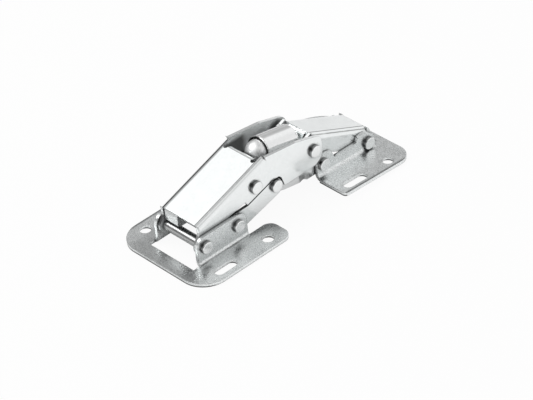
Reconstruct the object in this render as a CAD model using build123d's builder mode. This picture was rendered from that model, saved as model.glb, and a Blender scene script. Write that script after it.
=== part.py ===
from build123d import *
from math import asin, atan2, cos, degrees, hypot, radians, sin
import os

# Surface-mounted concealed cabinet hinge: two screw-on plates joined by a sprung
# six-bar linkage of folded and flat steel pieces. Millimetres, +Z up.
# X runs along the hinge from the left plate's outer end, Y across it from its
# middle plane, and Z up from the face that lies on the cabinet side.

# ---------------------------------------------------------------- driving sizes
PLATE_SHEET = 1.3           # thickness of both plates
ARM_SHEET = 1.2             # thickness of arms and links
WIDTH = 45.0                # across both plates

# pivots, as (X, Z) with the hinge open
P1 = (12.26, 6.92)          # left plate and outer arm
P2 = (27.17, 7.11)          # left plate and lower links
J5 = (65.47, 16.24)         # outer arm and inner arm
J6 = (37.65, 16.69)         # outer arm and cross links
J7 = (46.69, 12.21)         # lower links and cross links
Q1 = (92.23, 4.27)          # inner arm and right plate
Q2 = (70.29, 7.27)          # cross links and right plate

# layers across the hinge, as (inner, outer) distance from the middle plane
LEFT_EARS = (9.6, 10.9)
OUTER_LAYER = (8.35, 9.55)  # outer arm flanges and lower links
RIGHT_EARS = (7.0, 8.3)
CROSS_LAYER = (7.05, 8.25)  # cross links
INNER_LAYER = (5.75, 6.95)  # inner arm flanges and the cross links' joggled ends

# rivets and axles
PIN_R = 1.5
STOUT_PIN_R = 1.6           # both pivots on the left plate
RUNNING_GAP = 0.05          # radial clearance of a turning hole
HEAD_R = 2.35
HEAD_HEIGHT = 1.3
HEAD_ROUND = 0.35
COLLAR_R = 2.5              # spacing collar between outer and inner arm
SPACER_R = 2.0              # fat middle of the outer arm's axle

# left plate
LEFT_LENGTH = 41.0
LEFT_STRIP = 5.5            # width of the plate across its outer end
LEFT_WINDOW = 11.4          # half width of the window between the two legs
LEFT_EARS_X = (8.55, 31.25)
LEFT_EARS_TOP = 11.24
LEFT_EARS_CORNER = 3.7
LEFT_OUTER_CORNER = 9.5
LEFT_LEG_CORNER = 3.5
LEFT_ROUND_HOLES = ((33.7, -18.0), (10.0, 18.0))
LEFT_ROUND_R = 2.2
LEFT_SLOTS = ((13.6, -18.5), (30.1, 18.5))
LEFT_SLOT_SIZE = (9.3, 3.9)

# right plate, pitched so that its outer edge rests on the floor
RIGHT_LENGTH = 34.0
RIGHT_START = 66.61
RIGHT_RISE = 1.9
RIGHT_PITCH = degrees(asin(RIGHT_RISE / RIGHT_LENGTH))
RIGHT_STRIP = 2.8
RIGHT_EARS_U = (0.55, 28.4)
RIGHT_EARS_BLANK = 10.0     # height of the ears before their outline is cut
RIGHT_OUTER_CORNERS = (6.5, 15.0)   # near and far
RIGHT_INNER_CORNER = 1.5
RIGHT_ROUND_HOLES = ((24.6, -18.7), (22.5, 17.5))
RIGHT_ROUND_R = 2.1
RIGHT_SLOTS = ((8.1, -19.0), (8.1, 19.0))
RIGHT_SLOT_SIZE = (10.6, 4.0)

# folds
LEFT_FOLD_R = 1.2           # inside radius where the ears rise from the plates
RIGHT_FOLD_R = 1.5
CHANNEL_FOLD_R = 0.8        # inside radius of the arms' channels

# outer arm
OUTER_WEB = ((11.1, 15.0), (43.0, 25.85))
OUTER_DEPTH = 26.0          # channel blank, before the side outline is cut
OUTER_WEB_END = 40.3        # where the web stops beside the seat lip
SEAT_HALF = 5.8             # half width of the lip that the spring pushes on
SEAT_NOTCH = 0.9            # radius of the relief notches beside the lip
SEAT_ROOT_X = 39.3
SEAT_BEND = (42.9, 2.6)     # X and radius of the lip's bend
SEAT_FOOT = (42.7, 20.0)
STOP_TAB_Y = (1.0, 7.4)
STOP_TAB_ROOT_X = 14.0
STOP_TAB_BEND = (11.7, 1.2)
STOP_TAB_FOOT = (11.7, 10.3)
EYE_R = 3.3                 # metal around the pivots of the outer arm and lower links

# inner arm
INNER_WEB = ((67.3, 20.9), (93.6, 9.28))
INNER_DEPTH = 18.0
SPRING_TAB_HALF = 4.0
SPRING_TAB_ROOT_X = 68.9
SPRING_TAB_BEND = (67.16, 1.0)
SPRING_TAB_FOOT = (64.75, 14.9)

# spring cartridge, on a line that falls towards the inner arm
SPRING_SLOPE = -10.65
RIM = (48.71, 21.04)        # centre of the sleeve's open end
SLEEVE_LENGTH = 15.0
SLEEVE_R = 5.5
SLEEVE_BORE_R = 4.46
SLEEVE_MOUTH_R = 4.98
SLEEVE_MOUTH_DEPTH = 3.2
SLEEVE_END = 0.8
SLEEVE_CORNER = 1.5
PLUNGER_R = 4.4
PLUNGER_WALL = 0.7
PLUNGER_NOSE = -0.45        # centre of the round nose, measured along the axis
PLUNGER_END = 9.5
SPRING_R = 3.1
SPRING_WIRE_R = 0.45
SPRING_ENDS = (1.2, 13.6)
SPRING_TURNS = 7

CUT = 60.0                  # longer than anything that a cut goes through
NEAR = -1
FAR = 1


# ---------------------------------------------------------------- helpers
def layer_plane(layer, side):
    """Plane of a layer's near face, from which it is extruded towards -Y."""
    return Plane.XZ.offset(layer[0] if side == NEAR else -layer[1])


def thickness(layer):
    return layer[1] - layer[0]


def pivot_plane(pivot, y, side):
    """Plane across a pivot, at distance y from the middle plane, facing outwards."""
    return Plane(origin=(pivot[0], side * y, pivot[1]), x_dir=(1, 0, 0), z_dir=(0, side, 0))


def turned(pivot, steps, side):
    """Headed pin as stepped discs: (distance, radius) pairs from the inside out."""
    with BuildPart() as pin:
        for (y_from, radius), (y_to, _) in zip(steps, steps[1:]):
            with BuildSketch(pivot_plane(pivot, y_from, side)):
                Circle(radius)
            extrude(amount=y_to - y_from)
        rims = pin.edges().filter_by(GeomType.CIRCLE).sort_by(Axis.Y)
        fillet(rims[0] if side == NEAR else rims[-1], HEAD_ROUND)
    return pin


def axle(pivot, steps):
    """Through pin with the same head on both sides."""
    half = turned(pivot, steps, NEAR)
    with BuildPart() as pin:
        add(half.part)
        mirror(about=Plane.XZ)
    return pin


def save(shape, name):
    shape.part.label = name
    export_step(shape.part, f"parts/{name}.step")


def bore(pivot, radius):
    """Hole through everything along a pivot's axis."""
    with BuildSketch(Plane.XZ) as hole:
        with Locations(pivot):
            Circle(radius)
    extrude(hole.sketch, amount=CUT, both=True, mode=Mode.SUBTRACT)


def outline(points, corners):
    """Closed outline with one corner radius for each point."""
    with BuildLine() as path:
        FilletPolyline(*points, radius=corners, close=True)
    make_face(path.edges())


def eye(pivot, radius):
    with Locations(pivot):
        Circle(radius)


def folded_ears(layer, fold_r, base, reach, top):
    """Pair of ears and their folds, rising from a plate's plane along a reach of it."""
    inner, outer = layer
    fold = outer + fold_r
    rise = PLATE_SHEET + fold_r
    across = Plane(origin=base.from_local_coords((reach[0], 0, 0)),
                   x_dir=base.y_dir, z_dir=base.x_dir)
    with BuildPart() as ears:
        with BuildSketch(across):
            with BuildLine():
                Polyline((outer, rise), (outer, top), (inner, top), (inner, rise))
                CenterArc((fold, rise), rise, 180, 90)
                Line((fold, 0), (fold, PLATE_SHEET))
                CenterArc((fold, rise), fold_r, 180, 90)
            make_face()
            mirror(about=Plane.YZ)
        extrude(amount=reach[1] - reach[0])
    return ears


def folded_arm(web, layer, depth, side_view):
    """Channel folded from sheet: a web from start to end, and flanges that run past it."""
    (x0, z0), (x1, z1) = web
    length = hypot(x1 - x0, z1 - z0)
    slope = degrees(atan2(z1 - z0, x1 - x0))
    start = Plane(origin=(x0, 0, z0), x_dir=(0, 1, 0),
                  z_dir=(cos(radians(slope)), 0, sin(radians(slope))))
    middle = layer[0] + ARM_SHEET / 2
    with BuildPart() as arm:
        with BuildSketch(start):
            with BuildLine():
                FilletPolyline((-middle, -depth), (-middle, -ARM_SHEET / 2),
                               (middle, -ARM_SHEET / 2), (middle, -depth),
                               radius=CHANNEL_FOLD_R + ARM_SHEET / 2)
            trace(line_width=ARM_SHEET)
        extrude(amount=length)
        with BuildSketch(Plane.XZ):
            side_view()
        extrude(amount=CUT, both=True, mode=Mode.INTERSECT)
        for side in (NEAR, FAR):
            with BuildSketch(layer_plane(layer, side)):
                side_view()
                with Locations(Location(((x0 + x1) / 2, (z0 + z1) / 2, 0), slope)):
                    Rectangle(length, 2 * depth, mode=Mode.SUBTRACT)
            extrude(amount=thickness(layer))
    return arm


def middle_of(web, x):
    """Point at x on the middle of the sheet whose upper face is a channel's web."""
    (x0, z0), (x1, z1) = web
    rise = (z1 - z0) / (x1 - x0)
    return (x, z0 + (x - x0) * rise - ARM_SHEET / 2 * hypot(1, rise))


def folded_tab(web, root_x, bend, foot, y_from, y_to):
    """Strip that leaves a web's end and is bent down to its foot."""
    with BuildPart() as tab:
        with BuildSketch(Plane.XZ.offset(-y_to)):
            with BuildLine():
                FilletPolyline(middle_of(web, root_x), middle_of(web, bend[0]), foot, radius=bend[1])
            trace(line_width=ARM_SHEET)
        extrude(amount=y_to - y_from)
    return tab


# ---------------------------------------------------------------- left plate
def screw_holes(round_holes, round_r, slots, slot_size):
    with Locations(*round_holes):
        Circle(round_r, mode=Mode.SUBTRACT)
    with Locations(*slots):
        SlotOverall(*slot_size, mode=Mode.SUBTRACT)


def make_left_plate():
    fold = LEFT_EARS[1] + LEFT_FOLD_R
    ears = folded_ears(LEFT_EARS, LEFT_FOLD_R, Plane.XY, LEFT_EARS_X, LEFT_EARS_TOP)
    with BuildPart() as plate:
        with BuildSketch() as flat:
            with Locations((LEFT_LENGTH / 2, 0)):
                Rectangle(LEFT_LENGTH, WIDTH)
            with Locations((LEFT_STRIP, 0)):
                Rectangle(LEFT_LENGTH, 2 * LEFT_WINDOW, mode=Mode.SUBTRACT,
                          align=(Align.MIN, Align.CENTER))
            fillet(flat.vertices().group_by(Axis.X)[0], LEFT_OUTER_CORNER)
            fillet(flat.vertices().group_by(Axis.X)[-1], LEFT_LEG_CORNER)
            with Locations((sum(LEFT_EARS_X) / 2, 0)):
                Rectangle(LEFT_EARS_X[1] - LEFT_EARS_X[0], 2 * fold, mode=Mode.SUBTRACT)
            screw_holes(LEFT_ROUND_HOLES, LEFT_ROUND_R, LEFT_SLOTS, LEFT_SLOT_SIZE)
        extrude(amount=PLATE_SHEET)
        add(ears.part)
        tips = plate.edges().filter_by(Axis.Y).group_by(Axis.Z)[-1]
        fillet(tips, LEFT_EARS_CORNER)
        bore(P1, STOUT_PIN_R)
        bore(P2, STOUT_PIN_R)
    return plate


# ---------------------------------------------------------------- right plate
RIGHT_BASE = Plane(origin=(RIGHT_START, 0, RIGHT_RISE),
                   x_dir=(cos(radians(RIGHT_PITCH)), 0, -sin(radians(RIGHT_PITCH))),
                   z_dir=(sin(radians(RIGHT_PITCH)), 0, cos(radians(RIGHT_PITCH))))
RIGHT_SIDE = Plane(origin=RIGHT_BASE.origin, x_dir=RIGHT_BASE.x_dir, z_dir=(0, -1, 0))


def right_ear_outline():
    """Ear seen from the side: a hump over the cross link, a dip, and an eye at the arm."""
    left, right = RIGHT_EARS_U
    points = [(left, -1), (left, 6.2), (2.2, 8.7), (5.0, 9.5), (7.4, 9.0), (9.0, 5.75),
              (19.7, 6.2), (20.5, 8.3), (22.8, 8.6), (25.2, 8.2), (right, 5.6), (right, -1)]
    outline(points, [0, 1.5, 1.5, 2.0, 1.0, 0.7, 0.5, 0.9, 2.0, 2.5, 1.0, 0])


def make_right_plate():
    fold = RIGHT_EARS[1] + RIGHT_FOLD_R
    window_end = RIGHT_LENGTH - RIGHT_STRIP
    ears = folded_ears(RIGHT_EARS, RIGHT_FOLD_R, RIGHT_BASE, RIGHT_EARS_U, RIGHT_EARS_BLANK)
    with BuildPart() as trimmed:
        add(ears.part)
        with BuildSketch(RIGHT_SIDE):
            right_ear_outline()
        extrude(amount=CUT, both=True, mode=Mode.INTERSECT)
    with BuildPart() as plate:
        with BuildSketch(RIGHT_BASE) as flat:
            with Locations((RIGHT_LENGTH / 2, 0)):
                Rectangle(RIGHT_LENGTH, WIDTH)
            fillet(flat.vertices().group_by(Axis.X)[0], RIGHT_INNER_CORNER)
            for which, radius in zip((0, -1), RIGHT_OUTER_CORNERS):
                fillet(flat.vertices().group_by(Axis.X)[-1].sort_by(Axis.Y)[which], radius)
            with Locations((window_end / 2, 0)):
                Rectangle(window_end, 2 * RIGHT_EARS[0], mode=Mode.SUBTRACT)
            with Locations((RIGHT_EARS_U[1] / 2, 0)):
                Rectangle(RIGHT_EARS_U[1], 2 * fold, mode=Mode.SUBTRACT)
            screw_holes(RIGHT_ROUND_HOLES, RIGHT_ROUND_R, RIGHT_SLOTS, RIGHT_SLOT_SIZE)
        extrude(amount=PLATE_SHEET)
        add(trimmed.part)
        # flat seats for the rivet heads, where they reach down to the folds
        for pivot in (Q1, Q2):
            for side in (NEAR, FAR):
                with BuildSketch(pivot_plane(pivot, RIGHT_EARS[1], side)):
                    Circle(HEAD_R + RUNNING_GAP)
                extrude(amount=2 * HEAD_HEIGHT, mode=Mode.SUBTRACT)
        bore(Q1, PIN_R)
        bore(Q2, PIN_R)
    return plate


# ---------------------------------------------------------------- outer arm
def outer_arm_side():
    """Outer arm seen from the side: an eye at P1, a long flange and a broad rounded end."""
    points = [(9.44, 8.63), (11.3, 11.7), (11.1, 15.4), (42.9, 26.3), (43.0, 25.86),
              (57.5, 24.1), (69.4, 20.7), (69.8, 10.0), (50.9, 9.8), (49.6, 13.9),
              (48.6, 14.9), (44.4, 14.9), (33.4, 11.45), (32.5, 13.1), (24.3, 11.3),
              (14.15, 4.21), P1]
    outline(points, [0, 2.0, 0, 0, 0, 5.0, 3.2, 5.5, 0.5, 0.6, 0.6, 0.8, 0.4, 0.5, 1.5, 0, 0])
    eye(P1, EYE_R)


def make_outer_arm():
    channel = folded_arm(OUTER_WEB, OUTER_LAYER, OUTER_DEPTH, outer_arm_side)
    seat = folded_tab(OUTER_WEB, SEAT_ROOT_X, SEAT_BEND, SEAT_FOOT, -SEAT_HALF, SEAT_HALF)
    stop = folded_tab(OUTER_WEB, STOP_TAB_ROOT_X, STOP_TAB_BEND, STOP_TAB_FOOT, *STOP_TAB_Y)
    notch_y = SEAT_HALF + SEAT_NOTCH
    with BuildPart() as arm:
        add(channel.part)
        # the web stops short of the folds, which run on to the end of the channel
        with BuildSketch(Plane.XY):
            with Locations((OUTER_WEB_END, 0)):
                Rectangle(CUT, 2 * (SEAT_HALF + 2 * SEAT_NOTCH), align=(Align.MIN, Align.CENTER))
            with Locations((OUTER_WEB_END, notch_y), (OUTER_WEB_END, -notch_y)):
                Circle(SEAT_NOTCH)
        extrude(amount=CUT, mode=Mode.SUBTRACT)
        add(seat.part)
        add(stop.part)
        bore(P1, STOUT_PIN_R + RUNNING_GAP)
        bore(J5, PIN_R)
        bore(J6, PIN_R)
    return arm


# ---------------------------------------------------------------- inner arm
def inner_arm_side():
    """Inner arm seen from the side: an eye at each pivot and a hollowed lower edge."""
    points = [(65.0, 20.57), (67.0, 21.4), (93.5, 9.6), (94.4, 8.6), (95.5, 5.8), Q1,
              (86.6, 6.6), (81.3, 5.9), (72.9, 10.3), (70.3, 11.9), (68.03, 12.71), J5]
    outline(points, [0, 0, 0, 0, 0, 0, 1.5, 2.0, 0, 0, 0, 0])
    eye(J5, 4.35)
    eye(Q1, 3.6)


def make_inner_arm():
    channel = folded_arm(INNER_WEB, INNER_LAYER, INNER_DEPTH, inner_arm_side)
    # tab against the closed end of the spring sleeve
    tab = folded_tab(INNER_WEB, SPRING_TAB_ROOT_X, SPRING_TAB_BEND, SPRING_TAB_FOOT,
                     -SPRING_TAB_HALF, SPRING_TAB_HALF)
    with BuildPart() as arm:
        add(channel.part)
        bore(J5, PIN_R + RUNNING_GAP)
        bore(Q1, PIN_R + RUNNING_GAP)
        add(tab.part)
    return arm


# ---------------------------------------------------------------- lower links
def lower_link_side():
    """Lower link seen from the side: an eye at each pivot, straight between them."""
    points = [(32.3, 4.06), (49.1, 8.65), (49.3, 14.2), (44.9, 14.6), (33.6, 11.0),
              (27.17, 10.9), P2, (28.2, 3.4)]
    outline(points, [8.0, 2.0, 1.8, 1.2, 1.0, 0, 0, 0])
    eye(P2, 3.8)


def make_lower_link(side):
    with BuildPart() as link:
        with BuildSketch(layer_plane(OUTER_LAYER, side)):
            lower_link_side()
        extrude(amount=thickness(OUTER_LAYER))
        bore(P2, STOUT_PIN_R + RUNNING_GAP)
        bore(J7, PIN_R)
    return link


# ---------------------------------------------------------------- cross links
JOGGLE = (58.6, 62.2)       # where the cross link steps inwards


def cross_link_side():
    """Cross link seen from the side: a broad three-pivot plate with a narrow far end."""
    points = [(36.2, 19.6), (39.5, 19.75), (58.0, 13.2), (66.0, 11.2), (70.6, 10.76), Q2,
              (69.6, 3.8), (63.3, 3.9), (61.4, 5.3), (51.3, 7.1), (45.2, 9.1), (34.9, 15.0)]
    outline(points, [2.5, 2.5, 3.0, 0, 0, 0, 0, 1.5, 1.5, 4.0, 4.0, 2.0])
    eye(Q2, 3.5)


def make_cross_link(side):
    inner_mid = INNER_LAYER[0] + ARM_SHEET / 2
    outer_mid = CROSS_LAYER[0] + ARM_SHEET / 2
    with BuildPart() as link:
        with BuildSketch(Plane.XY):
            with BuildLine():
                FilletPolyline((30, side * outer_mid), (JOGGLE[0], side * outer_mid),
                               (JOGGLE[1], side * inner_mid), (76, side * inner_mid), radius=1.5)
            trace(line_width=ARM_SHEET)
        extrude(amount=25)
        with BuildSketch(Plane.XZ):
            cross_link_side()
        extrude(amount=CUT, both=True, mode=Mode.INTERSECT)
        bore(J6, PIN_R + RUNNING_GAP)
        bore(J7, PIN_R + RUNNING_GAP)
        bore(Q2, PIN_R + RUNNING_GAP)
    return link


# ---------------------------------------------------------------- spring cartridge
SPRING_AXIS = (cos(radians(SPRING_SLOPE)), 0, sin(radians(SPRING_SLOPE)))
SPRING_PROFILE = Plane(origin=(RIM[0], 0, RIM[1]), x_dir=SPRING_AXIS, z_dir=(0, -1, 0))
SPRING_LINE = Axis(origin=(RIM[0], 0, RIM[1]), direction=SPRING_AXIS)


def make_spring_sleeve():
    """Drawn cup, open towards the outer arm's seat."""
    with BuildPart() as sleeve:
        with BuildSketch(SPRING_PROFILE):
            outline([(0, SLEEVE_MOUTH_R), (0, SLEEVE_R), (SLEEVE_LENGTH, SLEEVE_R), (SLEEVE_LENGTH, 0),
                     (SLEEVE_LENGTH - SLEEVE_END, 0), (SLEEVE_LENGTH - SLEEVE_END, SLEEVE_BORE_R),
                     (SLEEVE_MOUTH_DEPTH + 1, SLEEVE_BORE_R), (SLEEVE_MOUTH_DEPTH, SLEEVE_MOUTH_R)],
                    [0, 0.15, SLEEVE_CORNER, 0, 0, 0.6, 0, 0])
        revolve(axis=SPRING_LINE)
    return sleeve


def make_spring_plunger():
    """Drawn cup with a hemispherical nose that bears on the seat lip."""
    inner_r = PLUNGER_R - PLUNGER_WALL
    with BuildPart() as plunger:
        with BuildSketch(SPRING_PROFILE):
            with BuildLine():
                Polyline((PLUNGER_NOSE, PLUNGER_R), (PLUNGER_END, PLUNGER_R),
                         (PLUNGER_END, inner_r), (PLUNGER_NOSE, inner_r))
                CenterArc((PLUNGER_NOSE, 0), inner_r, 90, 90)
                Line((PLUNGER_NOSE - inner_r, 0), (PLUNGER_NOSE - PLUNGER_R, 0))
                CenterArc((PLUNGER_NOSE, 0), PLUNGER_R, 90, 90)
            make_face()
        revolve(axis=SPRING_LINE)
    return plunger


def make_coil_spring():
    """Compression spring between the nose of the plunger and the end of the sleeve."""
    start, end = SPRING_ENDS
    length = end - start
    with BuildPart() as coil:
        with BuildLine() as wire:
            Helix(pitch=length / SPRING_TURNS, height=length, radius=SPRING_R,
                  center=SPRING_PROFILE.from_local_coords((start, 0, 0)), direction=SPRING_AXIS)
        with BuildSketch(Plane(origin=wire.wire() @ 0, z_dir=wire.wire() % 0)):
            Circle(SPRING_WIRE_R)
        sweep(path=wire.wire(), is_frenet=True)
    return coil


# ---------------------------------------------------------------- all pieces
os.makedirs("parts", exist_ok=True)

save(make_left_plate(), "left_plate")
save(make_right_plate(), "right_plate")
save(make_outer_arm(), "outer_arm")
save(make_inner_arm(), "inner_arm")
save(make_spring_sleeve(), "spring_sleeve")
save(make_spring_plunger(), "spring_plunger")
save(make_coil_spring(), "coil_spring")

left_head = LEFT_EARS[1] + HEAD_HEIGHT
outer_head = OUTER_LAYER[1] + HEAD_HEIGHT
right_head = RIGHT_EARS[1] + HEAD_HEIGHT
left_axle = [(0, SPACER_R), (RIGHT_EARS[1], STOUT_PIN_R), (LEFT_EARS[1], HEAD_R), (left_head, 0)]
save(axle(P1, left_axle), "outer_arm_axle")
save(axle(J6, [(0, PIN_R), (OUTER_LAYER[1], HEAD_R), (outer_head, 0)]), "cross_link_pin")
save(axle(Q1, [(0, PIN_R), (RIGHT_EARS[1], HEAD_R), (right_head, 0)]), "inner_arm_axle")

# the rivets of the lower links and cross links stop short of the pieces behind them
lower_link_rivet = [(OUTER_LAYER[0], STOUT_PIN_R), (LEFT_EARS[1], HEAD_R), (left_head, 0)]
link_joint_rivet = [(OUTER_LAYER[0], PIN_R), (OUTER_LAYER[1], HEAD_R), (outer_head, 0)]
cross_link_rivet = [(RIGHT_EARS[0], PIN_R), (RIGHT_EARS[1], HEAD_R), (right_head, 0)]
inner_arm_rivet = [(INNER_LAYER[0], PIN_R), (RIGHT_EARS[0], COLLAR_R), (OUTER_LAYER[0], PIN_R),
                   (OUTER_LAYER[1], HEAD_R), (outer_head, 0)]
for side, name in ((NEAR, "near"), (FAR, "far")):
    save(make_lower_link(side), f"lower_link_{name}")
    save(make_cross_link(side), f"cross_link_{name}")
    save(turned(P2, lower_link_rivet, side), f"lower_link_rivet_{name}")
    save(turned(J7, link_joint_rivet, side), f"link_joint_rivet_{name}")
    save(turned(J5, inner_arm_rivet, side), f"inner_arm_rivet_{name}")
    save(turned(Q2, cross_link_rivet, side), f"cross_link_rivet_{name}")
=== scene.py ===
import math

import bpy
from mathutils import Matrix, Vector


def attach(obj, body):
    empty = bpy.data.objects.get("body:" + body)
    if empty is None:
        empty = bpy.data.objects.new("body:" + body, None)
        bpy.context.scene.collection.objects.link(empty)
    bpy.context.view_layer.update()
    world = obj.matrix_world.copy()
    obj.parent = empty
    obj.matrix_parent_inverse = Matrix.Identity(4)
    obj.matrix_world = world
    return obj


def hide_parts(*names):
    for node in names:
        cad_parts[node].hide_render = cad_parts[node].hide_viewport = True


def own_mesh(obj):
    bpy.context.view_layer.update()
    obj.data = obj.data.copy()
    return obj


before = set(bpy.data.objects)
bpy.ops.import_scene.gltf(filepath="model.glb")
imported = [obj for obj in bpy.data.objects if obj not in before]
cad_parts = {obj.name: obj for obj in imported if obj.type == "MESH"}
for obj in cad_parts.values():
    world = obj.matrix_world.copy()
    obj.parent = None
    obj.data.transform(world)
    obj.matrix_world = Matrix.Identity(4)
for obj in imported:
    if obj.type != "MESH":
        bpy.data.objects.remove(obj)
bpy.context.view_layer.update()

# Lengths are in metres. X runs along the hinge from its left end, Y from the side that the camera
# sees to the far one, and Z up from the ground. "Left" and "right" are as the camera sees them.

# ---------------------------------------------------------------- camera
FRAME_PX = 533
FOCAL_PX = 2568.25
SENSOR_MM = 36.0
CAMERA_AT = (-0.40998, -0.54371, 0.53092)
CAMERA_BACK = (-0.51763, -0.61179, 0.59815)     # from the object towards the camera
CAMERA_ROLL = math.radians(-5.94)
CLIP_START = 0.05
CLIP_END = 20


def make_camera():
    back = Vector(CAMERA_BACK).normalized()
    level_right = Vector((0, 0, 1)).cross(back).normalized()
    level_up = back.cross(level_right)
    right = math.cos(CAMERA_ROLL) * level_right + math.sin(CAMERA_ROLL) * level_up
    up = -math.sin(CAMERA_ROLL) * level_right + math.cos(CAMERA_ROLL) * level_up
    data = bpy.data.cameras.new("camera")
    data.sensor_width = SENSOR_MM
    data.lens = FOCAL_PX / FRAME_PX * SENSOR_MM
    data.clip_start = CLIP_START
    data.clip_end = CLIP_END
    camera = bpy.data.objects.new("camera", data)
    turn = Matrix((right, up, back)).transposed().to_4x4()
    camera.matrix_world = Matrix.Translation(CAMERA_AT) @ turn
    bpy.context.scene.collection.objects.link(camera)
    bpy.context.scene.camera = camera


# ---------------------------------------------------------------- shader helpers
RISING = (0.0, 1.0)
FALLING = (1.0, 0.0)


def grey(colour):
    """A colour with alpha, from one number or from red, green and blue."""
    if isinstance(colour, (int, float)):
        return (colour, colour, colour, 1)
    return (*colour, 1)


class Graph:
    """Short names for adding and joining the nodes of one material or world."""

    def __init__(self, tree):
        self.tree = tree
        self.tree.nodes.clear()

    def add(self, kind, **settings):
        node = self.tree.nodes.new("ShaderNode" + kind)
        for name, value in settings.items():
            setattr(node, name, value)
        return node

    def link(self, source, target):
        self.tree.links.new(source, target)

    def value(self, socket, value):
        """Sets a socket to a constant or joins it to another node's output."""
        if isinstance(value, bpy.types.NodeSocket):
            self.link(value, socket)
        else:
            socket.default_value = value

    def math(self, operation, *values):
        node = self.add("Math", operation=operation)
        for socket, value in zip(node.inputs, values):
            self.value(socket, value)
        return node.outputs[0]

    def absolute(self, value):
        return self.math("ABSOLUTE", value)

    def product(self, first, *others):
        for other in others:
            first = self.math("MULTIPLY", first, other)
        return first

    def below(self, value, limit):
        """A mask that is 1 where the value is less than the limit."""
        return self.math("LESS_THAN", value, limit)

    def above(self, value, limit):
        """A mask that is 1 where the value is more than the limit."""
        return self.math("GREATER_THAN", value, limit)

    def step(self, value, limits, results=RISING):
        """Smooth step of a value between two limits, from the first result to the second."""
        node = self.add("MapRange", interpolation_type="SMOOTHSTEP")
        self.link(value, node.inputs["Value"])
        for name, number in zip(("From Min", "From Max", "To Min", "To Max"), (*limits, *results)):
            node.inputs[name].default_value = number
        return node.outputs[0]

    def share(self, mask, value):
        """Turns a mask into a share that is 1 outside it and the given value inside."""
        change = self.math("SUBTRACT", value, 1.0)
        return self.math("ADD", 1.0, self.math("MULTIPLY", mask, change))

    def axes(self, vector):
        """The outputs X, Y and Z of a vector."""
        node = self.add("SeparateXYZ")
        self.link(vector, node.inputs[0])
        return node.outputs

    def dot(self, first, second):
        node = self.add("VectorMath", operation="DOT_PRODUCT")
        self.value(node.inputs[0], first)
        self.value(node.inputs[1], second)
        return node.outputs["Value"]

    def ramp(self, factor, *stops):
        node = self.add("ValToRGB")
        for element, (position, colour) in zip(node.color_ramp.elements, stops):
            element.position = position
            element.color = grey(colour)
        self.link(factor, node.inputs[0])
        return node.outputs[0]

    def noise(self, where, scale, detail, roughness):
        node = self.add("TexNoise")
        self.link(where, node.inputs["Vector"])
        node.inputs["Scale"].default_value = scale
        node.inputs["Detail"].default_value = detail
        node.inputs["Roughness"].default_value = roughness
        return node.outputs["Fac"]

    def mix(self, factor, first, second, blend="MIX"):
        node = self.add("Mix", data_type="RGBA", blend_type=blend)
        self.value(node.inputs[0], factor)
        self.value(node.inputs[6], first)
        self.value(node.inputs[7], second)
        return node.outputs[2]


# ---------------------------------------------------------------- floor
FLOOR_HALF = 3.0
FLOOR_Z = -0.0002               # just under the plates
FLOOR_CARD = 0.9                # the floor's colour where light falls on it
FLOOR_GLOW = 0.94               # share of plain white that the camera sees, the rest shows shadow
SHADE_MIDDLE = 0.050            # middle of the shaded strip under the hinge, along X
SHADE_HALF = 0.045              # half its length
SHADE_REACH = (0.008, 0.027)    # distances from the strip's line over which the shade ends
FLOOR_GLOSS = (0.05, 0.87)      # the floor's white in reflections, in the shade and away from it
BACK_FROM = (0.05, 0.11)        # where the floor behind the hinge gets painted shade in reflections
BACK_SHARE = (1.0, 0.20)        # and how dark


def reflected_floor(g):
    """How white reflections see the floor: painted shade under the hinge, and darker painted shade
    behind it.
    """
    place = g.axes(g.add("TexCoord").outputs["Object"])
    along = g.absolute(g.math("SUBTRACT", place["X"], SHADE_MIDDLE))
    beyond = g.math("MAXIMUM", g.math("SUBTRACT", along, SHADE_HALF), 0.0)
    squares = g.math("ADD", g.math("POWER", beyond, 2.0), g.math("POWER", place["Y"], 2.0))
    open_floor = g.step(g.math("SQRT", squares), SHADE_REACH, FLOOR_GLOSS)
    return g.product(open_floor, g.step(place["Y"], BACK_FROM, BACK_SHARE))


def make_floor():
    mesh = bpy.data.meshes.new("floor")
    corners = [(x * FLOOR_HALF, y * FLOOR_HALF, 0) for x, y in ((-1, -1), (1, -1), (1, 1), (-1, 1))]
    mesh.from_pydata(corners, [], [(0, 1, 2, 3)])
    floor = bpy.data.objects.new("floor", mesh)
    floor.location = (0, 0, FLOOR_Z)
    bpy.context.scene.collection.objects.link(floor)
    material = bpy.data.materials.new("floor")
    material.use_nodes = True
    g = Graph(material.node_tree)
    seen = g.add("LightPath").outputs
    glossy = g.product(seen["Is Glossy Ray"], reflected_floor(g))
    direct = g.math("MAXIMUM", seen["Is Camera Ray"], seen["Is Transmission Ray"])
    plain = g.product(direct, FLOOR_GLOW)
    card = g.add("BsdfDiffuse")
    card.inputs["Color"].default_value = grey(FLOOR_CARD)
    glow = g.add("Emission")
    glow.inputs["Color"].default_value = grey(1.0)
    glow.inputs["Strength"].default_value = 1.0
    mix = g.add("MixShader")
    g.link(g.math("MAXIMUM", glossy, plain), mix.inputs[0])
    g.link(card.outputs[0], mix.inputs[1])
    g.link(glow.outputs[0], mix.inputs[2])
    g.link(mix.outputs[0], g.add("OutputMaterial").inputs["Surface"])
    mesh.materials.append(material)


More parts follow.
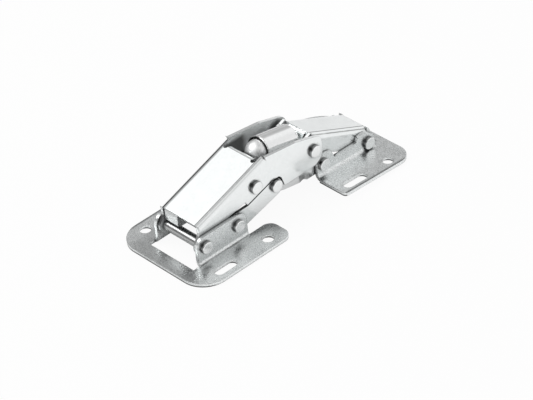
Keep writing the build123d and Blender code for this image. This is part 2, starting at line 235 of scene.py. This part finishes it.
# ---------------------------------------------------------------- studio
STUDIO_BASE = 0.95
STUDIO_PATCHES = (              # direction, inner and outer angle in degrees, level
    ((-0.62, 0.61, 0.49), 16, 36, 0.28),
    ((0.05, 0.61, 0.79), 22, 38, 1.12),
    ((0.22, 0.97, 0.10), 19, 36, 0.05),
    ((0.56, 0.62, 0.56), 12, 30, 0.50),
    ((0.52, -0.61, 0.60), 15, 33, 0.86),
    ((-0.02, -0.75, 0.66), 8, 17, 0.75),
    ((0.90, -0.34, 0.27), 3, 10, 0.15),
    ((0.25, -0.05, 0.97), 10, 24, 0.06),
    ((-0.50, -0.68, 0.50), 15, 36, 0.05))
LAMP_AT = (-0.45, 0.45, 0.80)
LAMP_AIM = (0.05, 0, 0.01)
LAMP_SIZE = 0.5
LAMP_WATTS = 3.0


def make_world():
    """Studio of soft white panels with a few darker places between them."""
    world = bpy.data.worlds.new("studio")
    world.use_nodes = True
    bpy.context.scene.world = world
    g = Graph(world.node_tree)
    where = g.add("TexCoord").outputs["Generated"]
    light = grey(STUDIO_BASE)
    for centre, inner, outer, level in STUDIO_PATCHES:
        cosine = g.dot(where, Vector(centre).normalized())
        limits = (math.cos(math.radians(outer)), math.cos(math.radians(inner)))
        light = g.mix(g.step(cosine, limits), light, grey(level))
    background = g.add("Background")
    g.link(light, background.inputs["Color"])
    background.inputs["Strength"].default_value = 1.0
    g.link(background.outputs[0], g.add("OutputWorld").inputs["Surface"])


def make_lamp():
    data = bpy.data.lights.new("key", "AREA")
    data.shape = "SQUARE"
    data.size = LAMP_SIZE
    data.energy = LAMP_WATTS
    lamp = bpy.data.objects.new("key", data)
    lamp.location = LAMP_AT
    lamp.rotation_mode = "QUATERNION"
    aim = Vector(LAMP_AIM) - Vector(LAMP_AT)
    lamp.rotation_quaternion = aim.to_track_quat("-Z", "Y")
    bpy.context.scene.collection.objects.link(lamp)


# ---------------------------------------------------------------- forms of the pieces
# A form is painted shade: a share by which a material's colour is multiplied. It depends on the
# place on the piece and on the direction of its surface, given as the X, Y and Z of its normal.

# rivets and axles
HEADS_BEYOND = 0.0084           # rivet heads lie further than this from the hinge's middle
TURNED_WALL = (0.35, 0.80)      # below this size of the normal's Y the surface is a side wall
# painted shade on the side walls of the heads and on the shafts
HEAD_WALL_SHADE = 0.34
SHAFT_SHADE = 0.50

# arms and lower links
INNER_FACE = -0.004             # place times normal along Y is below this on a channel's inside
INNER_ROUGHNESS = 0.34          # what the inside adds to the roughness
# painted shade on the undersides of the arms and lower links
UNDERSIDE = (-0.5, -0.2)
UNDERSIDE_SHADE = 0.35
LIP_BEFORE = 0.013              # the outer arm's left end lies before this
LIP_FACES = -0.8                # and its sheared edge faces left
# painted shade on that sheared left end
LIP_SHADE = 0.62
POCKET_BEYOND = 0.040           # painted shade in the pocket inside the outer arm, in front of the plunger
POCKET_END = (0.0485, 0.0515)
POCKET_TOP = (0.0228, 0.0246)
POCKET_SHADE = 0.30
WEB_BEFORE = 0.0425             # the outer arm's web lies before this
WEB_FACES = 0.3
FAR_FOLD = (0.0067, 0.0077)     # painted shade along the fold on the web's far side, which starts here
FAR_FOLD_SHADE = 0.35
NEAR_FOLD_STARTS = (0.02, 0.08)     # part of the near fold's turn, by its normal, that gets a painted dark reflection
NEAR_FOLD_ENDS = (0.16, 0.28)
NEAR_FOLD_SHADE = 0.28

# plates
LEFT_BEFORE = 0.055             # the left plate lies before this, the right one beyond it
PLATE_TOP = 0.0034              # the flat parts of both plates lie below this
PLATE_WALL = 0.3                # their sheared walls have a normal with less Z than this
FACES_UP = 0.8
# walls facing left get a little painted shade
FACES_LEFT = (-0.85, -0.6)
FACES_LEFT_SHADE = 0.95
FOOT_FACES = (-0.6, -0.2)       # walls that turn left at all get painted shade at their foot
FOOT_HEIGHT = (0.00025, 0.00065)
FOOT_SHADE = 0.12
RIGHT_START = 0.06661           # inner end of the right plate, its height there and its length
RIGHT_RISE = 0.0019
RIGHT_LENGTH = 0.034
ROLLED_SIDE = (0.0213, 0.0223)  # painted shade where the plates' tops roll over towards their long sides
ROLLED_SHADE = 0.34
EAR_SHADE_SIDE = (0.011, 0.0205)     # painted shade: the left plate's top gets lighter from the ears to the sides
EAR_SHADE_SHARE = (0.68, 1.0)


def surface(g, where):
    """X, Y and Z of the place on the piece and of its normal."""
    return g.axes(where), g.axes(g.add("TexCoord").outputs["Normal"])


def turned_form(g, where):
    """Rivets and axles: painted shade on the side walls of the heads and on the shafts."""
    place, normal = surface(g, where)
    head = g.above(g.absolute(place["Y"]), HEADS_BEYOND)
    wall = g.step(g.absolute(normal["Y"]), TURNED_WALL, FALLING)
    return g.share(wall, g.math("ADD", SHAFT_SHADE, g.product(head, HEAD_WALL_SHADE - SHAFT_SHADE)))


def channel_inside(g, where):
    """A mask for the faces of a channel's flanges that look at the middle of the hinge."""
    place, normal = surface(g, where)
    return g.below(g.product(place["Y"], normal["Y"]), INNER_FACE)


def channel_form(g, where):
    """Arms: painted shade on the underside, the left end, the pocket in front of the plunger and
    the folds.
    """
    place, normal = surface(g, where)
    under = g.step(normal["Z"], UNDERSIDE, FALLING)
    lip = g.product(g.below(place["X"], LIP_BEFORE), g.below(normal["X"], LIP_FACES))
    pocket = g.product(channel_inside(g, where), g.above(place["X"], POCKET_BEYOND),
                       g.step(place["X"], POCKET_END, FALLING),
                       g.step(place["Z"], POCKET_TOP, FALLING))
    web = g.above(normal["Z"], WEB_FACES)
    far_fold = g.product(g.below(place["X"], WEB_BEFORE), web, g.step(place["Y"], FAR_FOLD))
    turned = g.math("MULTIPLY", normal["Y"], -1.0)
    near_fold = g.product(web, g.step(turned, NEAR_FOLD_STARTS),
                          g.step(turned, NEAR_FOLD_ENDS, FALLING))
    return g.product(g.share(under, UNDERSIDE_SHADE), g.share(lip, LIP_SHADE),
                     g.share(pocket, POCKET_SHADE), g.share(far_fold, FAR_FOLD_SHADE),
                     g.share(near_fold, NEAR_FOLD_SHADE))


def plate_form(g, where):
    """Plates: painted shade at the foot of the sheared walls, on walls facing left, along the
    rolled long sides and on the left top by the ears.
    """
    place, normal = surface(g, where)
    left = g.below(place["X"], LEFT_BEFORE)
    right = g.above(place["X"], LEFT_BEFORE)
    upward = g.above(normal["Z"], FACES_UP)

    wall = g.product(g.below(g.absolute(normal["Z"]), PLATE_WALL), g.below(place["Z"], PLATE_TOP))
    end = g.product(wall, g.step(normal["X"], FACES_LEFT, FALLING))
    fall = math.tan(math.asin(RIGHT_RISE / RIGHT_LENGTH))
    along = g.math("SUBTRACT", place["X"], RIGHT_START)
    tilt = g.math("ADD", g.product(along, fall), -RIGHT_RISE)
    height = g.math("ADD", place["Z"], g.product(right, tilt))
    foot = g.product(wall, g.step(normal["X"], FOOT_FACES, FALLING),
                     g.step(height, FOOT_HEIGHT, FALLING))

    side = g.absolute(place["Y"])
    both_sides = g.product(right, g.step(side, ROLLED_SIDE))
    far_side = g.product(left, g.step(place["Y"], ROLLED_SIDE))
    rolled = g.product(upward, g.math("MAXIMUM", both_sides, far_side))
    return g.product(g.share(end, FACES_LEFT_SHADE), g.share(foot, FOOT_SHADE),
                     g.share(rolled, ROLLED_SHADE),
                     g.share(g.product(upward, left), g.step(side, EAR_SHADE_SIDE, EAR_SHADE_SHARE)))


# ---------------------------------------------------------------- metals
MOTTLE_NOISE = (3.0, 0.6)       # detail and roughness of the noise
GRAIN_NOISE = (2.0, 0.7)
ROUGHNESS_SPAN = (0.3, 0.7)     # part of the mottle over which the roughness changes
# painted shade in creases and at contacts, from ambient occlusion
CREASE_SAMPLES = 8
CREASE_REACH = 0.0016           # how far from a contact the painted shade reaches
CREASE_SPAN = (0.35, 0.85)
# edges darkened in colour, partly as dull sheared metal and partly as painted shade
EDGE_SAMPLES = 4
EDGE_RADIUS = 0.00028
EDGE_SPAN = (0.72, 0.97)        # cosine between the soft normal and the true one at an edge
BUMP_HEIGHT = 0.0001


def metal(name, dark, light, roughness, mottle, grain, bump, fine_share=0.5, spread=0.14,
          edge=1.0, crease=0.3, reach=CREASE_REACH, crease_span=CREASE_SPAN, form=None,
          rougher=None):
    """Zinc-plated steel: a mottle of crystals, fine grain, soft edges darkened partly as dull
    sheared metal and partly as painted shade, and painted shade in the creases.

    mottle and grain are the scales of the two noises, fine_share the grain's part in the colour,
    and spread half the range over which it goes from dark to light. edge and crease are the
    shares of the colour that remain there. rougher is a mask of rougher places.
    """
    material = bpy.data.materials.new(name)
    material.use_nodes = True
    g = Graph(material.node_tree)
    where = g.add("TexCoord").outputs["Object"]
    broad = g.noise(where, mottle, *MOTTLE_NOISE)
    fine = g.noise(where, grain, *GRAIN_NOISE)
    blend = g.math("ADD", g.product(broad, 1 - fine_share), g.product(fine, fine_share))
    colour = g.ramp(blend, (0.5 - spread, dark), (0.5 + spread, light))

    # painted shade in creases and at contacts
    hollow = g.add("AmbientOcclusion", samples=CREASE_SAMPLES)
    hollow.inputs["Distance"].default_value = reach
    # edges darkened partly as dull sheared metal and partly as painted shade
    soft = g.add("Bevel", samples=EDGE_SAMPLES)
    soft.inputs["Radius"].default_value = EDGE_RADIUS
    turn = g.dot(soft.outputs[0], g.add("NewGeometry").outputs["True Normal"])
    shade = g.product(g.step(hollow.outputs["AO"], crease_span, (crease, 1.0)),
                      g.step(turn, EDGE_SPAN, (edge, 1.0)))
    if form:
        shade = g.product(shade, form(g, where))
    shade_colour = g.add("CombineColor")
    for channel in ("Red", "Green", "Blue"):
        g.link(shade, shade_colour.inputs[channel])

    shader = g.add("BsdfPrincipled")
    shader.inputs["Metallic"].default_value = 1.0
    g.link(g.mix(1.0, colour, shade_colour.outputs[0], "MULTIPLY"), shader.inputs["Base Color"])
    rough = g.step(broad, ROUGHNESS_SPAN, roughness)
    if rougher:
        rough = g.math("ADD", rough, g.product(rougher(g, where), INNER_ROUGHNESS))
    g.link(rough, shader.inputs["Roughness"])
    relief = g.add("Bump")
    relief.inputs["Strength"].default_value = bump
    relief.inputs["Distance"].default_value = BUMP_HEIGHT
    g.link(fine, relief.inputs["Height"])
    g.link(soft.outputs[0], relief.inputs["Normal"])
    g.link(relief.outputs[0], shader.inputs["Normal"])
    g.link(shader.outputs[0], g.add("OutputMaterial").inputs["Surface"])
    return material


def dress(material, *nodes):
    for node in nodes:
        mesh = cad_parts[node].data
        mesh.materials.clear()
        mesh.materials.append(material)


def dress_all():
    """Dresses the CAD nodes and returns the material of the spring's wire."""
    plate = metal("zinc_plate", (0.66, 0.68, 0.68), (0.965, 0.985, 0.985), (0.24, 0.34),
                  mottle=420, grain=2400, bump=0.25, fine_share=0.85, spread=0.075,
                  edge=0.40, form=plate_form)
    arm = metal("zinc_arm", (0.85, 0.87, 0.87), (0.92, 0.94, 0.94), (0.16, 0.24),
                mottle=260, grain=1500, bump=0.02, edge=0.30, crease=0.38, reach=0.0025,
                crease_span=(0.42, 0.92), form=channel_form, rougher=channel_inside)
    # the cross links: a darker copy of the arms' metal with deep crease shade, painted shade for
    # links lying deeper in the hinge
    link = metal("zinc_link", (0.80, 0.81, 0.81), (0.90, 0.91, 0.91), (0.18, 0.26),
                 mottle=260, grain=1500, bump=0.03, edge=0.25, crease=0.03, reach=0.0024,
                 crease_span=(0.52, 0.97))
    rivet = metal("rivet_steel", (0.86, 0.87, 0.87), (0.94, 0.95, 0.95), (0.18, 0.26),
                  mottle=500, grain=2000, bump=0.03, edge=0.70, form=turned_form)
    chrome = metal("sleeve_steel", (0.87, 0.88, 0.88), (0.93, 0.935, 0.935), (0.08, 0.13),
                   mottle=300, grain=1200, bump=0.005, edge=0.35)
    plunger = metal("plunger_steel", (0.94, 0.95, 0.95), (0.98, 0.985, 0.985), (0.46, 0.54),
                    mottle=300, grain=1200, bump=0.005, edge=0.5)
    wire = metal("spring_wire", (0.30, 0.31, 0.32), (0.42, 0.43, 0.44), (0.25, 0.35),
                 mottle=500, grain=2000, bump=0.02)
    dress(plate, "left_plate", "right_plate")
    dress(arm, "outer_arm", "inner_arm", "lower_link_near", "lower_link_far")
    dress(link, "cross_link_near", "cross_link_far")
    dress(rivet, *[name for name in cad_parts
                   if "rivet" in name or "axle" in name or name == "cross_link_pin"])
    dress(chrome, "spring_sleeve")
    dress(plunger, "spring_plunger")
    return wire


def make_coil(wire):
    """The coil as a piece of its own, carried by the outer arm."""
    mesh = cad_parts["coil_spring"].data.copy()
    mesh.materials.clear()
    mesh.materials.append(wire)
    coil = bpy.data.objects.new("pressed_coil", mesh)
    bpy.context.scene.collection.objects.link(coil)
    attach(coil, "outer_arm")
    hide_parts("coil_spring")
    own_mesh(coil)


# ---------------------------------------------------------------- scene
make_camera()
make_floor()
make_world()
make_lamp()
make_coil(dress_all())

bpy.context.scene.view_settings.view_transform = "Standard"
